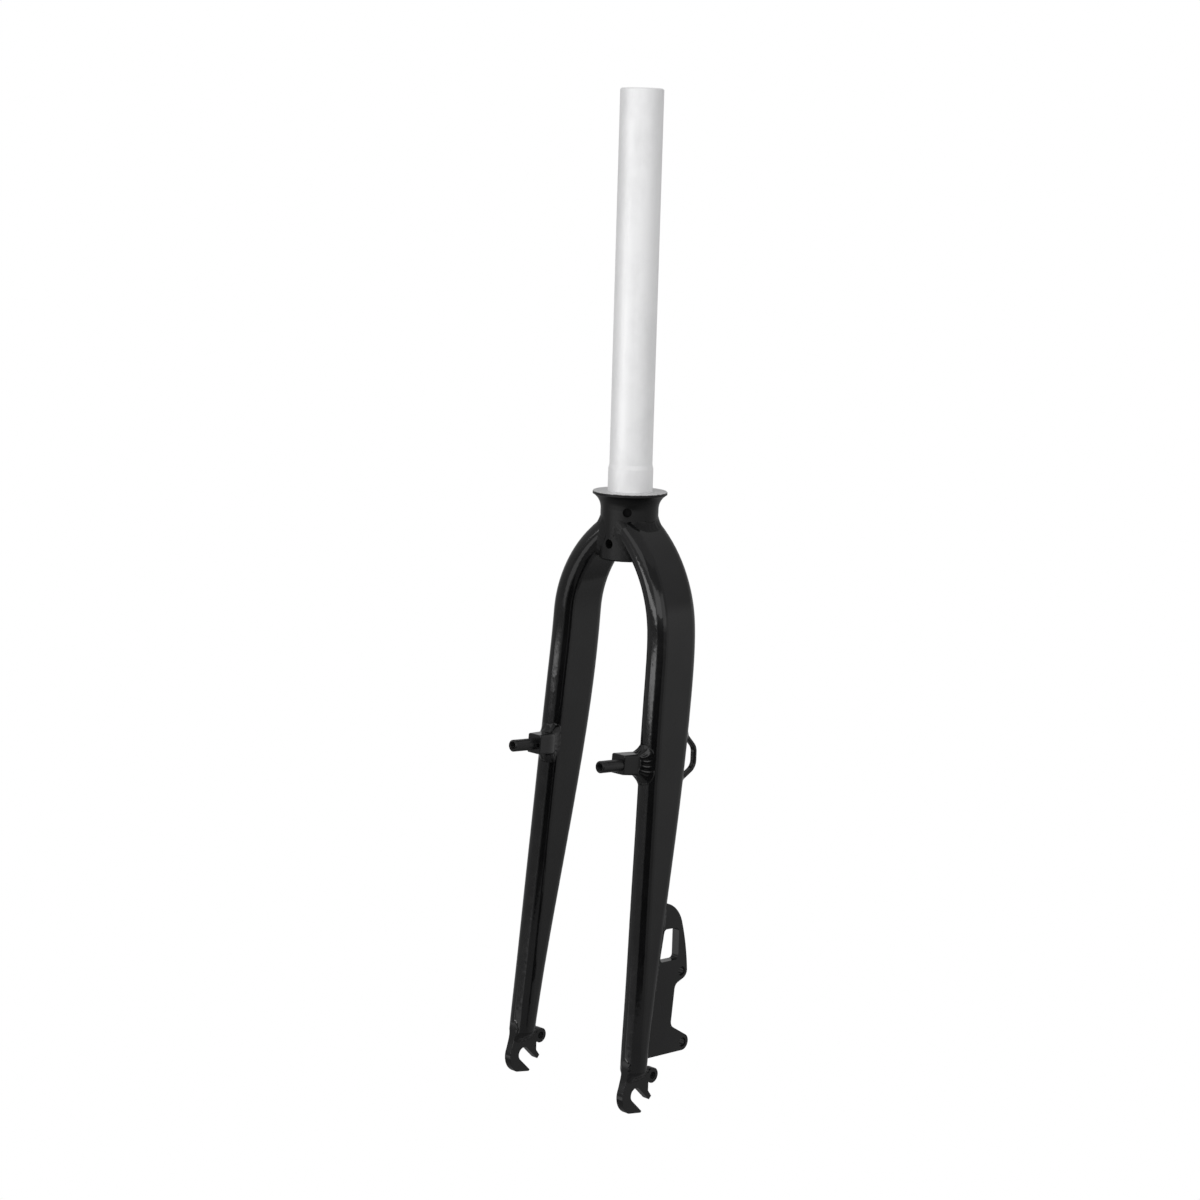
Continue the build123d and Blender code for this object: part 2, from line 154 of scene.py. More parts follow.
FLOOR_FADE = (0.15, 0.75)
FLOOR_NEAR_GLOW = 0.35
WHITE = (1, 1, 1, 1)

CAMERA_PLACE = (1.06507, -1.16641, 0.18578)
CAMERA_RIGHT = (0.72729, 0.68576, 0.02824)
CAMERA_UP = (-0.13177, 0.09913, 0.98632)
CAMERA_BACK = (0.67357, -0.72105, 0.16246)
CAMERA_LENS = 71.66
CAMERA_SENSOR = 36
CAMERA_CLIP = (0.05, 100)


class ForkPaint(PropertyGroup):
    """Black paint on the crown, the legs and all that is welded to them."""

    dark: FloatVectorProperty(
        name="Dark tone", description="Paint colour where the coat is thick", subtype="COLOR",
        default=(0.0032, 0.0032, 0.0034), min=0, max=1)
    pale: FloatVectorProperty(
        name="Pale tone", description="Paint colour where the coat is thin", subtype="COLOR",
        default=(0.0055, 0.0055, 0.0058), min=0, max=1)
    smooth: FloatProperty(
        name="Smooth", description="Roughness of the best of the gloss", subtype="FACTOR",
        default=0.09, min=0, max=1)
    dull: FloatProperty(
        name="Dull", description="Roughness of the dullest patches", subtype="FACTOR",
        default=0.15, min=0, max=1)
    collar: FloatProperty(
        name="Collar", description="How much duller the paint is on the crown and its welds",
        subtype="FACTOR", default=0.26, min=0, max=0.8)
    sheen: FloatProperty(
        name="Collar sheen", description="Specular level of that duller paint", subtype="FACTOR",
        default=0.28, min=0, max=1)
    peel: FloatProperty(
        name="Orange peel", description="Depth of the fine ripple left by spraying", subtype="FACTOR",
        default=0.025, min=0, max=1)


class ForkMetal(PropertyGroup):
    """Bare aluminium of the steerer and of the flange's top."""

    pale: FloatVectorProperty(
        name="Pale tone", description="Clean drawn aluminium", subtype="COLOR",
        default=(0.91, 0.91, 0.915), min=0, max=1)
    dark: FloatVectorProperty(
        name="Dark tone", description="Handled and oxidised patches", subtype="COLOR",
        default=(0.81, 0.81, 0.815), min=0, max=1)
    smooth: FloatProperty(
        name="Smooth", description="Roughness of the drawn lines' crests", subtype="FACTOR",
        default=0.48, min=0, max=1)
    dull: FloatProperty(
        name="Dull", description="Roughness of the drawn lines' grooves", subtype="FACTOR",
        default=0.60, min=0, max=1)


class ForkWelds(PropertyGroup):
    """Painted fillets of filler metal where the pieces meet."""

    crown: FloatProperty(
        name="Crown weld", description="Leg length of the weld round each leg at the crown",
        unit="LENGTH", default=0.0042, min=0.0005, max=0.01)
    boss: FloatProperty(
        name="Boss weld", description="Leg length of the weld round each brake boss",
        unit="LENGTH", default=0.0060, min=0.0005, max=0.01)
    mount: FloatProperty(
        name="Disc mount weld", description="Leg length of the weld along the disc mount",
        unit="LENGTH", default=0.0026, min=0.0005, max=0.01)
    guide: FloatProperty(
        name="Hose guide weld", description="Leg length of the weld at the guide's two ends",
        unit="LENGTH", default=0.0034, min=0.0005, max=0.01)
    dropout: FloatProperty(
        name="Dropout weld", description="Leg length of the weld round each dropout",
        unit="LENGTH", default=0.0036, min=0.0005, max=0.01)
    pitch: FloatProperty(
        name="Ripple pitch", description="Distance from one ripple of a weld to the next",
        unit="LENGTH", default=0.0034, min=0.0005, max=0.01)
    depth: FloatProperty(
        name="Ripple depth", description="Height of a ripple under the paint",
        unit="LENGTH", default=0.00020, min=0, max=0.002)
    boss_depth: FloatProperty(
        name="Boss ripple depth", description="Height of a lump in the coarse welds of the brake bosses",
        unit="LENGTH", default=0.0005, min=0, max=0.002)
    dressed_depth: FloatProperty(
        name="Dressed ripple depth", description="Height of a ripple where the crown welds are smoothed",
        unit="LENGTH", default=0.00012, min=0, max=0.002)
    seed: IntProperty(name="Seed", description="Seed of the welds' uneven width", default=7)


class ForkEdges(PropertyGroup):
    """Edges of plates, rounded by forging and paint, and the pitch of the screw threads."""

    plate: FloatProperty(
        name="Plate edge", description="Edge radius of the dropouts and the disc mount",
        unit="LENGTH", default=0.0007, min=0, max=0.002)
    stud_pitch: FloatProperty(
        name="Stud thread pitch", description="Pitch of the thread in the pivot studs",
        unit="LENGTH", default=0.001, min=0.0005, max=0.002)
    eyelet_pitch: FloatProperty(
        name="Eyelet thread pitch", description="Pitch of the thread in the mudguard eyelets",
        unit="LENGTH", default=0.0008, min=0.0005, max=0.002)


class ForkStage(PropertyGroup):
    """Floor, lamps and cards of the studio."""

    floor_drop: FloatProperty(
        name="Floor drop", description="Clear height between the floor and the dropouts",
        unit="LENGTH", default=0.6, min=0)
    floor_colour: FloatVectorProperty(
        name="Floor colour", description="Colour of the pale floor", subtype="COLOR",
        default=(0.86, 0.86, 0.86), min=0, max=1)
    key_power: FloatProperty(
        name="Key power", description="Power of the wide strip lamp ahead of the fork",
        unit="POWER", default=16.0, min=0)
    fill_power: FloatProperty(
        name="Fill power", description="Power of the wide lamp above",
        unit="POWER", default=14.0, min=0)
    screen_tone: FloatProperty(
        name="Screen tone", description="Brightness of the grey screens that the gloss reflects",
        subtype="FACTOR", default=0.42, min=0, max=1)
    room_light: FloatProperty(
        name="Room light", description="Strength of the white room on dull surfaces",
        default=0.7, min=0)


def settings():
    """The fork's values in this scene."""
    return bpy.context.scene.fork


def fill_inputs(tree, made, values):
    """Sets a node's inputs, and links those whose value is a socket."""
    for key, value in values.items():
        if isinstance(value, bpy.types.NodeSocket):
            tree.links.new(value, made.inputs[key])
        else:
            made.inputs[key].default_value = value


def add_node(tree, kind, inputs=None, **options):
    """Adds a node, sets its options, and fills or links the inputs named."""
    made = tree.nodes.new(kind)
    for key, value in options.items():
        setattr(made, key, value)
    fill_inputs(tree, made, inputs or {})
    return made


def colour_ramp(tree, factor, low, high, start, end):
    """Two-tone ramp between two places of a factor."""
    ramp = add_node(tree, "ShaderNodeValToRGB", {"Fac": factor})
    ramp.color_ramp.elements[0].position = start
    ramp.color_ramp.elements[0].color = (*low, 1)
    ramp.color_ramp.elements[1].position = end
    ramp.color_ramp.elements[1].color = (*high, 1)
    return ramp.outputs["Color"]


def spread(tree, value, low, high, start, end):
    """Value mapped from one range to another and clamped."""
    return add_node(tree, "ShaderNodeMapRange", {
        "Value": value, "From Min": start, "From Max": end, "To Min": low, "To Max": high,
    }).outputs["Result"]


def mixed_colour(tree, factor, first, second):
    """Colour that goes from the first to the second as the factor grows."""
    made = add_node(tree, "ShaderNodeMix", {0: factor, 6: first, 7: second}, data_type="RGBA")
    return made.outputs[2]


def mixed_value(tree, factor, first, second):
    """Number that goes from the first to the second as the factor grows."""
    made = add_node(tree, "ShaderNodeMix", {0: factor, 2: first, 3: second}, data_type="FLOAT")
    return made.outputs[0]


def noise(tree, place, scale, detail, roughness=0.5):
    """Noise from 0 to 1, its scale counted per metre."""
    return add_node(tree, "ShaderNodeTexNoise", {
        "Vector": place, "Scale": scale, "Detail": detail, "Roughness": roughness,
    }).outputs["Fac"]


def object_place(tree, stretch=(1, 1, 1)):
    """Place in the shared frame, stretched along its axes."""
    place = add_node(tree, "ShaderNodeTexCoord").outputs["Object"]
    return add_node(tree, "ShaderNodeMapping", {"Vector": place, "Scale": stretch}).outputs["Vector"]


def object_height(tree):
    """Height above the top of the crown's flange."""
    return add_node(tree, "ShaderNodeSeparateXYZ", {"Vector": object_place(tree)}).outputs["Z"]


def axis_distance(tree):
    """Distance from the steerer's axis."""
    sideways = object_place(tree, (1, 1, 0))
    return add_node(tree, "ShaderNodeVectorMath", {0: sideways}, operation="LENGTH").outputs["Value"]


def bump(tree, height, strength, distance):
    """Normal of a surface with that relief."""
    return add_node(tree, "ShaderNodeBump", {
        "Height": height, "Strength": strength, "Distance": distance,
    }).outputs["Normal"]


def new_material(name):
    """A new material, its tree and its shader."""
    material = bpy.data.materials.new(name)
    material.use_nodes = True
    return material, material.node_tree, material.node_tree.nodes["Principled BSDF"]


def paint_looks(tree, duller):
    """Colour, roughness and normal of the black paint."""
    paint = settings().paint
    place = object_place(tree)
    flow = noise(tree, place, FLOW_SCALE, 4, 0.55)
    colour = colour_ramp(tree, flow, paint.dark, paint.pale, 0.35, 0.68)
    gloss = noise(tree, place, GLOSS_SCALE, 5, 0.6)
    rough = spread(tree, gloss, paint.smooth + duller, paint.dull + duller, 0.38, 0.66)
    normal = bump(tree, noise(tree, place, PEEL_SCALE, 2), paint.peel, PEEL_RELIEF)
    return colour, rough, normal


def metal_looks(tree):
    """Colour, roughness and relief of the drawn aluminium, its fine lines running along the tube."""
    metal = settings().metal
    lines = noise(tree, object_place(tree, DRAWN_STRETCH), DRAWN_SCALE, 3, 0.6)
    patches = noise(tree, object_place(tree, HANDLED_STRETCH), HANDLED_SCALE, 6, 0.62)
    colour = colour_ramp(tree, patches, metal.pale, metal.dark, 0.46, 0.80)
    rough = spread(tree, lines, metal.smooth, metal.dull, 0.35, 0.65)
    return colour, rough, lines


def black_paint(name, duller, sheen):
    """Black paint, with extra roughness and a specular level."""
    material, tree, shader = new_material(name)
    colour, rough, normal = paint_looks(tree, duller)
    fill_inputs(tree, shader, {
        "Base Color": colour, "Roughness": rough, "Specular IOR Level": sheen, "Normal": normal,
    })
    return material


def bare_aluminium(name):
    """Bare metal with a painted foot, which shows only through the crown's bolt hole and from below; the
    foot is dull and barely reflective, as painted shade in that hole.
    """
    material, tree, shader = new_material(name)
    colour, rough, lines = metal_looks(tree)
    # Below the flange the foot turns dull black: paint, and painted shade where it shows through the bolt
    # hole.
    foot_paint_and_shade = spread(tree, object_height(tree), 1, 0, *FOOT_PAINT_AND_SHADE)
    fill_inputs(tree, shader, {
        "Base Color": mixed_colour(tree, foot_paint_and_shade, colour, (*settings().paint.dark, 1)),
        "Roughness": mixed_value(tree, foot_paint_and_shade, rough, SHADE_ROUGHNESS),
        "Metallic": mixed_value(tree, foot_paint_and_shade, BARE_METALLIC, 0),
        "Specular IOR Level": mixed_value(tree, foot_paint_and_shade, PLAIN_SPECULAR, SHADE_SPECULAR),
        "Normal": bump(tree, lines, DRAWN_BUMP, FINE_RELIEF),
    })
    return material


def crown_finish(name):
    """Duller paint that stops at the rim: the flange's top stays bare under the headset race. In the holes
    the paint is rough and barely reflective, as painted shade.
    """
    paint = settings().paint
    material, tree, shader = new_material(name)
    paint_colour, paint_rough, normal = paint_looks(tree, paint.collar)
    metal_colour, metal_rough, _ = metal_looks(tree)
    uneven = noise(tree, object_place(tree), RIM_SCALE, 3)
    ragged = spread(tree, uneven, -RIM_RAGGED, RIM_RAGGED, 0.3, 0.7)
    bare = spread(tree, math_node(tree, "ADD", object_height(tree), ragged), 0, 1, *RIM_EDGE)
    # Inside the holes the paint turns rough and barely reflective: painted shade in the holes.
    hole_shade = spread(tree, axis_distance(tree), 1, 0, *HOLE_RADII)
    paint_rough = mixed_value(tree, hole_shade, paint_rough, SHADE_ROUGHNESS)
    fill_inputs(tree, shader, {
        "Base Color": mixed_colour(tree, bare, paint_colour, metal_colour),
        "Roughness": mixed_value(tree, bare, paint_rough, metal_rough),
        "Metallic": bare,
        "Specular IOR Level": mixed_value(tree, hole_shade, paint.sheen, SHADE_SPECULAR),
        "Normal": normal,
    })
    return material


def stud_black(name):
    """Thin satin black on the turned studs, with fine turning lines round the axis."""
    material, tree, shader = new_material(name)
    turned = noise(tree, object_place(tree, TURNED_STRETCH), TURNED_SCALE, 2)
    patches = noise(tree, object_place(tree), STUD_PATCH_SCALE, 4)
    fill_inputs(tree, shader, {
        "Base Color": colour_ramp(tree, patches, STUD_DARK, STUD_PALE, 0.35, 0.7),
        "Roughness": spread(tree, patches, *STUD_ROUGHNESS, 0.3, 0.7),
        "Normal": bump(tree, turned, TURNED_BUMP, FINE_RELIEF),
    })
    return material


def finish_material(name, maker, *values):
    """The finish of that name, made on its first use."""
    return bpy.data.materials.get(name) or maker(name, *values)


def painted():
    """Gloss paint of the legs and of what is welded to them."""
    return finish_material("black_gloss_paint", black_paint, 0, PLAIN_SPECULAR)


def dull_painted():
    """Duller paint of the welds at the crown."""
    paint = settings().paint
    return finish_material("black_collar_paint", black_paint, paint.collar, paint.sheen)


def dress_node(node, material):
    """Gives a CAD node its finish and leaves its shape alone."""
    piece = frame["nodes"][node]
    piece.data.materials.clear()
    piece.data.materials.append(material)


def merged_form(node):
    """Copy of a CAD node's mesh with its loose triangles joined."""
    form = bmesh.new()
    form.from_mesh(frame["nodes"][node].data)
    bmesh.ops.remove_doubles(form, verts=form.verts, dist=MERGE_DISTANCE)
    form.normal_update()
    return form


def mesh_of(form, name):
    """Plain mesh from a form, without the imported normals, which no longer fit it."""
    mesh = bpy.data.meshes.new(name)
    form.to_mesh(mesh)
    form.free()
    packed = mesh.attributes.get("custom_normal")
    if packed:
        mesh.attributes.remove(packed)
    return mesh


def new_piece(name, mesh):
    """An object in the scene, at the origin."""
    piece = bpy.data.objects.new(name, mesh)
    bpy.context.scene.collection.objects.link(piece)
    return piece


def work_in(piece):
    """Turns the piece's modifiers into plain mesh."""
    graph = bpy.context.evaluated_depsgraph_get()
    mesh = bpy.data.meshes.new_from_object(piece.evaluated_get(graph))
    old = piece.data
    piece.modifiers.clear()
    piece.data = mesh
    bpy.data.meshes.remove(old)
    mesh.name = piece.name
    if not mesh.polygons:
        raise RuntimeError(f"{piece.name} came out empty")


def turn_faces_out(mesh):
    """Makes every face of a closed mesh point outwards."""
    form = bmesh.new()
    form.from_mesh(mesh)
    bmesh.ops.recalc_face_normals(form, faces=form.faces)
    form.to_mesh(mesh)
    form.free()


def soft_edged(node, name, radius):
    """A plate's own shape with its edges rounded, standing for the CAD node."""
    form = merged_form(node)
    bmesh.ops.dissolve_limit(form, angle_limit=FLAT_ANGLE, verts=form.verts, edges=form.edges)
    for face in form.faces:
        face.smooth = True
    piece = new_piece(name, mesh_of(form, name))
    piece.data.materials.append(painted())
    rounding = piece.modifiers.new("edge", "BEVEL")
    rounding.width = radius
    rounding.segments = EDGE_SEGMENTS
    rounding.limit_method = "ANGLE"
    rounding.angle_limit = EDGE_ANGLE
    rounding.harden_normals = True
    work_in(piece)
    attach(piece, BODY)
    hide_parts(node)


def tree_input(tree, modifier, name, value):
    """Sets a modifier's input by its socket's identifier."""
    for item in tree.interface.items_tree:
        if item.name == name and item.in_out == "INPUT":
            modifier[item.identifier] = value
            return
    raise KeyError(name)


def run_tree(piece, tree, inputs):
    """Runs a node tree on a piece and keeps what it makes as plain mesh."""
    modifier = piece.modifiers.new(tree.name, "NODES")
    modifier.node_group = tree
    for name, value in inputs.items():
        tree_input(tree, modifier, name, value)
    work_in(piece)
    turn_faces_out(piece.data)


def math_node(tree, operation, *values):
    """Result of one step of arithmetic."""
    return add_node(tree, "ShaderNodeMath", dict(enumerate(values)), operation=operation).outputs[0]


def product(tree, first, *others):
    """All the values multiplied."""
    for value in others:
        first = math_node(tree, "MULTIPLY", first, value)
    return first


def scaled(tree, vector, factor):
    """Vector times a number."""
    return add_node(tree, "ShaderNodeVectorMath", {"Vector": vector, "Scale": factor},
                    operation="SCALE").outputs["Vector"]


def added(tree, first, second):
    """Sum of two vectors."""
    return add_node(tree, "ShaderNodeVectorMath", {0: first, 1: second}, operation="ADD").outputs["Vector"]


def named(tree, name, kind):
    """Attribute of that name."""
    made = add_node(tree, "GeometryNodeInputNamedAttribute", {"Name": name}, data_type=kind)
    return next(socket for socket in made.outputs if socket.enabled)


def stored(tree, geometry, name, value, kind):
    """Geometry with a value kept on its points under a name."""
    return add_node(tree, "GeometryNodeStoreNamedAttribute", {
        "Geometry": geometry, "Name": name, "Value": value,
    }, data_type=kind, domain="POINT").outputs["Geometry"]


def new_tree(name, made, geometry, sizes, seeded=False):
    """Geometry Nodes tree with named inputs, and the sockets that bring their values."""
    tree = bpy.data.node_groups.new(name, "GeometryNodeTree")
    inputs = [(geometry, "NodeSocketGeometry")] + [(size, "NodeSocketFloat") for size in sizes]
    if seeded:
        inputs.append(("Seed", "NodeSocketInt"))
    inputs.append(("Finish", "NodeSocketMaterial"))
    for title, kind in inputs:
        tree.interface.new_socket(title, in_out="INPUT", socket_type=kind)
    tree.interface.new_socket(made, in_out="OUTPUT", socket_type="NodeSocketGeometry")
    return tree, add_node(tree, "NodeGroupInput").outputs


def end_tree(tree, made, body, finish):
    """Smooth, real and finished geometry as the tree's output."""
    body = add_node(tree, "GeometryNodeSetShadeSmooth", {"Geometry": body}).outputs[0]
    body = add_node(tree, "GeometryNodeRealizeInstances", {"Geometry": body}).outputs[0]
    body = add_node(tree, "GeometryNodeSetMaterial", {"Geometry": body, "Material": finish}).outputs[0]
    add_node(tree, "NodeGroupOutput", {made: body})


def weld_tree():
    """Node tree that sweeps a painted fillet, rippled by the torch, along a seam."""
    tree = bpy.data.node_groups.get("painted_weld")
    if tree:
        return tree
    tree, given = new_tree(
        "painted_weld", "Weld", "Seam", ("Leg Length", "Ripple Pitch", "Ripple Depth"), seeded=True)
    leg_length = given["Leg Length"]
    pitch = given["Ripple Pitch"]
    position = add_node(tree, "GeometryNodeInputPosition").outputs[0]
    parameter = add_node(tree, "GeometryNodeSplineParameter").outputs

    line = add_node(tree, "GeometryNodeMeshToCurve", {"Mesh": given["Seam"]}).outputs["Curve"]
    step = product(tree, pitch, WELD_STEP_OF_PITCH)
    line = add_node(tree, "GeometryNodeResampleCurve", {"Curve": line, "Length": step},
                    mode="LENGTH").outputs["Curve"]
    line = stored(tree, line, "seam_length", parameter["Length"], "FLOAT")
    line = stored(tree, line, "seam_point", position, "FLOAT_VECTOR")
    ring = add_node(tree, "GeometryNodeCurvePrimitiveCircle", {
        "Resolution": WELD_RING_POINTS, "Radius": WELD_RING_RADIUS,
    }, mode="RADIUS").outputs["Curve"]
    ring = stored(tree, ring, "around", parameter["Factor"], "FLOAT")
    body = add_node(tree, "GeometryNodeCurveToMesh", {
        "Curve": line, "Profile Curve": ring, "Fill Caps": True,
    }).outputs["Mesh"]

    # Half of the ring goes from toe to toe over the front, the other half back under the skins
    around = named(tree, "around", "FLOAT")
    point = named(tree, "seam_point", "FLOAT_VECTOR")
    rest = math_node(tree, "ABSOLUTE", math_node(tree, "MULTIPLY_ADD", around, 2.0, -1.0))
    across = math_node(tree, "SUBTRACT", 1.0, rest)
    hump = product(tree, across, rest, 4.0)
    front = math_node(tree, "LESS_THAN", around, 0.5)

    seed = product(tree, given["Seed"], WELD_SEED_STEP)
    uneven = add_node(tree, "ShaderNodeTexNoise", {
        "Vector": point, "W": seed, "Scale": WELD_UNEVEN_SCALE, "Detail": 1,
    }, noise_dimensions="4D").outputs[0]
    width = product(tree, spread(tree, uneven, *WELD_WIDTHS, 0.25, 0.75), leg_length)

    bow = product(tree, math_node(tree, "SUBTRACT", 1.0, hump), WELD_BOW_OF_PITCH)
    phase = math_node(tree, "DIVIDE", named(tree, "seam_length", "FLOAT"), pitch)
    phase = math_node(tree, "ADD", phase, bow)
    wave = math_node(tree, "ABSOLUTE", math_node(tree, "SINE", product(tree, phase, math.pi)))
    ripple = product(tree, wave, hump, given["Ripple Depth"])
    crest = product(tree, hump, leg_length, WELD_CREST)
    rise = math_node(tree, "SUBTRACT", math_node(tree, "ADD", ripple, crest), WELD_TOE_SINK)
    lift = mixed_value(tree, front, product(tree, hump, leg_length, WELD_ROOT), rise)

    near = product(tree, rest, rest, width)
    far = product(tree, across, across, width)
    place = added(tree, point, scaled(tree, named(tree, "side_a", "FLOAT_VECTOR"), near))
    place = added(tree, place, scaled(tree, named(tree, "side_b", "FLOAT_VECTOR"), far))
    place = added(tree, place, scaled(tree, named(tree, "seam_out", "FLOAT_VECTOR"), lift))
    body = add_node(tree, "GeometryNodeSetPosition", {"Geometry": body, "Position": place}).outputs[0]
    end_tree(tree, "Weld", body, given["Finish"])
    return tree


def touching_faces(form, other):
    """Faces of a form that lie on another node's surface."""
    def on_surface(place):
        return other.find_nearest(place, TOUCH_DISTANCE)[0] is not None

    held = {vert for vert in form.verts if on_surface(vert.co)}
    # A dict keeps the faces in order, so that a seam is walked the same way on every run
    return dict.fromkeys(
        face for face in form.faces
        if all(vert in held for vert in face.verts) and on_surface(face.calc_center_median())
    )


def seam_loops(touching):
    """Closed loops of edges round the touching faces, as lists of vertices."""
    border = {}
    for face in touching:
        for edge in face.edges:
            if sum(side in touching for side in edge.link_faces) == 1:
                for vert in edge.verts:
                    border.setdefault(vert, []).append(edge)
    loops = []
    unused = set(border)
    while unused:
        start = min(unused, key=lambda vert: vert.index)
        loop = [start]
        unused.discard(start)
        while True:
            ahead = [edge.other_vert(loop[-1]) for edge in border[loop[-1]]]
            ahead = [vert for vert in ahead if vert in unused]
            if not ahead:
                break
            loop.append(ahead[0])
            unused.discard(ahead[0])
        loops.append(loop)
    return loops


def mean_vector(vectors):
    """Mean direction of some vectors."""
    return sum(vectors, Vector()).normalized()


def seam_frame(loop, index, touching, other):
    """Along the two surfaces away from a seam, and out of the corner between them."""
    vert = loop[index]
    tangent = (loop[(index + 1) % len(loop)].co - loop[index - 1].co).normalized()
    free = [face for face in vert.link_faces if face not in touching]
    held = [face for face in vert.link_faces if face in touching]
    normal_a = mean_vector([face.normal * face.calc_area() for face in free])
    normal_b = other.find_nearest(vert.co)[1]
    away = mean_vector([face.calc_center_median() - vert.co for face in free])
    into = mean_vector([face.calc_center_median() - vert.co for face in held])
    side_a = normal_a.cross(tangent).normalized()
    side_b = normal_b.cross(tangent).normalized()
    if side_a.dot(normal_b) + SIDE_HINT * side_a.dot(away) < 0:
        side_a = -side_a
    if side_b.dot(normal_a) - SIDE_HINT * side_b.dot(into) < 0:
        side_b = -side_b
    return side_a, side_b, (normal_a + normal_b).normalized(), normal_a


def evened(vectors, passes):
    """Vectors round a loop, each drawn towards its neighbours."""
    for _ in range(passes):
        count = len(vectors)
        vectors = [
            (vectors[i - 1] + 2 * vectors[i] + vectors[(i + 1) % count]) / 4 for i in range(count)
        ]
    return vectors


def outer_seams(node, other_node):
    """Seams on the outside of a node where it meets another: points, directions and the two skins."""
    form = merged_form(node)
    other = merged_form(other_node)
    skin = BVHTree.FromBMesh(form)
    surface = BVHTree.FromBMesh(other)
    form.verts.index_update()
    touching = touching_faces(form, surface)
    seams = []
    for loop in seam_loops(touching):
        if len(loop) < SEAM_LEAST_POINTS:
            continue
        middle = sum((vert.co for vert in loop), Vector()) / len(loop)
        frames = [seam_frame(loop, index, touching, surface) for index in range(len(loop))]
        outward = sum((vert.co - middle).dot(frames[i][3]) for i, vert in enumerate(loop))
        if outward > 0:
            columns = [list(column) for column in zip(*frames)]
            seams.append(([vert.co.copy() for vert in loop], columns, (skin, surface)))
    form.free()
    other.free()
    if not seams:
        raise RuntimeError(f"{node} and {other_node} share no seam")
    return seams


def toes(line, sides, skin, leg_length):
    """Ways from a seam to the weld's edge on a skin, in leg lengths."""
    ways = []
    for point, side in zip(line, sides):
        edge = skin.find_nearest(point + side.normalized() * leg_length)[0]
        ways.append((edge - point) / leg_length)
    return evened(ways, TOE_PASSES)


def seam_mesh(name, seams, leg_length):
    """Edges along the seams, with the weld's directions stored on their points."""
    points, edges = [], []
    columns = {"side_a": [], "side_b": [], "seam_out": []}
    for line, (side_a, side_b, out, _), (skin, surface) in seams:
        start = len(points)
        count = len(line)
        line = evened(line, SEAM_PASSES)
        points += line
        edges += [(start + i, start + (i + 1) % count) for i in range(count)]
        columns["side_a"] += toes(line, evened(side_a, SIDE_PASSES), skin, leg_length)
        columns["side_b"] += toes(line, evened(side_b, SIDE_PASSES), surface, leg_length)
        columns["seam_out"] += [vector.normalized() for vector in evened(out, SIDE_PASSES)]
    mesh = bpy.data.meshes.new(name)
    mesh.from_pydata(points, edges, [])
    for key, vectors in columns.items():
        stored_as = mesh.attributes.new(key, "FLOAT_VECTOR", "POINT")
        stored_as.data.foreach_set("vector", [number for vector in vectors for number in vector])
    return mesh


def weld(name, node, other_node, leg_length, ripple, finish):
    """Painted weld along every outer seam of two nodes, as one piece."""
    welds = settings().welds
    piece = new_piece(name, seam_mesh(name, outer_seams(node, other_node), leg_length))
    run_tree(piece, weld_tree(), {
        "Leg Length": leg_length, "Ripple Pitch": welds.pitch, "Ripple Depth": ripple,
        "Seed": welds.seed, "Finish": finish,
    })
    attributes = piece.data.attributes
    for key in ("side_a", "side_b", "seam_out", "seam_point", "seam_length", "around"):
        if key in attributes:
            attributes.remove(attributes[key])
    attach(piece, BODY)


def thread_tree():
    """Node tree for the ridge of a screw thread in a hole, along +Z from the origin."""
    tree = bpy.data.node_groups.get("screw_thread")
    if tree:
        return tree
    tree, given = new_tree("screw_thread", "Thread", "Start", ("Radius", "Depth", "Pitch"))
    helix = add_node(tree, "GeometryNodeCurveSpiral", {
        "Resolution": THREAD_TURN_POINTS, "Height": given["Depth"],
        "Rotations": math_node(tree, "DIVIDE", given["Depth"], given["Pitch"]),
        "Start Radius": given["Radius"], "End Radius": given["Radius"],
    }).outputs["Curve"]
    ring = add_node(tree, "GeometryNodeCurvePrimitiveCircle", {
        "Resolution": THREAD_RING_POINTS, "Radius": product(tree, given["Pitch"], THREAD_RIDGE_OF_PITCH),
    }, mode="RADIUS").outputs["Curve"]
    body = add_node(tree, "GeometryNodeCurveToMesh", {
        "Curve": helix, "Profile Curve": ring, "Fill Caps": True,
    }).outputs["Mesh"]
    end_tree(tree, "Thread", body, given["Finish"])
    return tree


def thread(name, mount_name, pitch, material):
    """Ridge of a screw thread in one of the record's threaded holes."""
    mount = MOUNTS[mount_name]
    depth = mount["dims"]["length_mm"] / 1000 - 2 * pitch
    piece = new_piece(name, bpy.data.meshes.new(name))
    run_tree(piece, thread_tree(), {
        "Radius": mount["dims"]["r_mm"] / 1000, "Depth": depth, "Pitch": pitch, "Finish": material,
    })
    axis = Vector(mount["axis"]).normalized()
    turn = axis.to_track_quat("Z", "X").to_matrix().to_4x4()
    start = Vector(mount["pos_m"]) - axis * depth / 2
    piece.data.transform(Matrix.Translation(start) @ turn)
    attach(piece, BODY)


class FORK_OT_steerer(Operator):
    """Bare drawn aluminium on the steerer tube, and dull black paint on its foot, as painted shade in the
    bolt hole.
    """

    bl_idname = "fork.steerer"
    bl_label = "Steerer Tube"

    def execute(self, context):
        dress_node("steerer_tube", finish_material("drawn_aluminium", bare_aluminium))
        return {"FINISHED"}


class FORK_OT_crown(Operator):
    """Duller paint and a bare race seat on the crown."""

    bl_idname = "fork.crown"
    bl_label = "Crown"

    def execute(self, context):
        dress_node("crown", finish_material("crown_paint_with_bare_seat", crown_finish))
        return {"FINISHED"}


class FORK_OT_legs(Operator):
    """Gloss paint on both legs."""

    bl_idname = "fork.legs"
    bl_label = "Legs"

    def execute(self, context):
        for side in SIDES:
            dress_node(f"{side}_leg", painted())
        return {"FINISHED"}


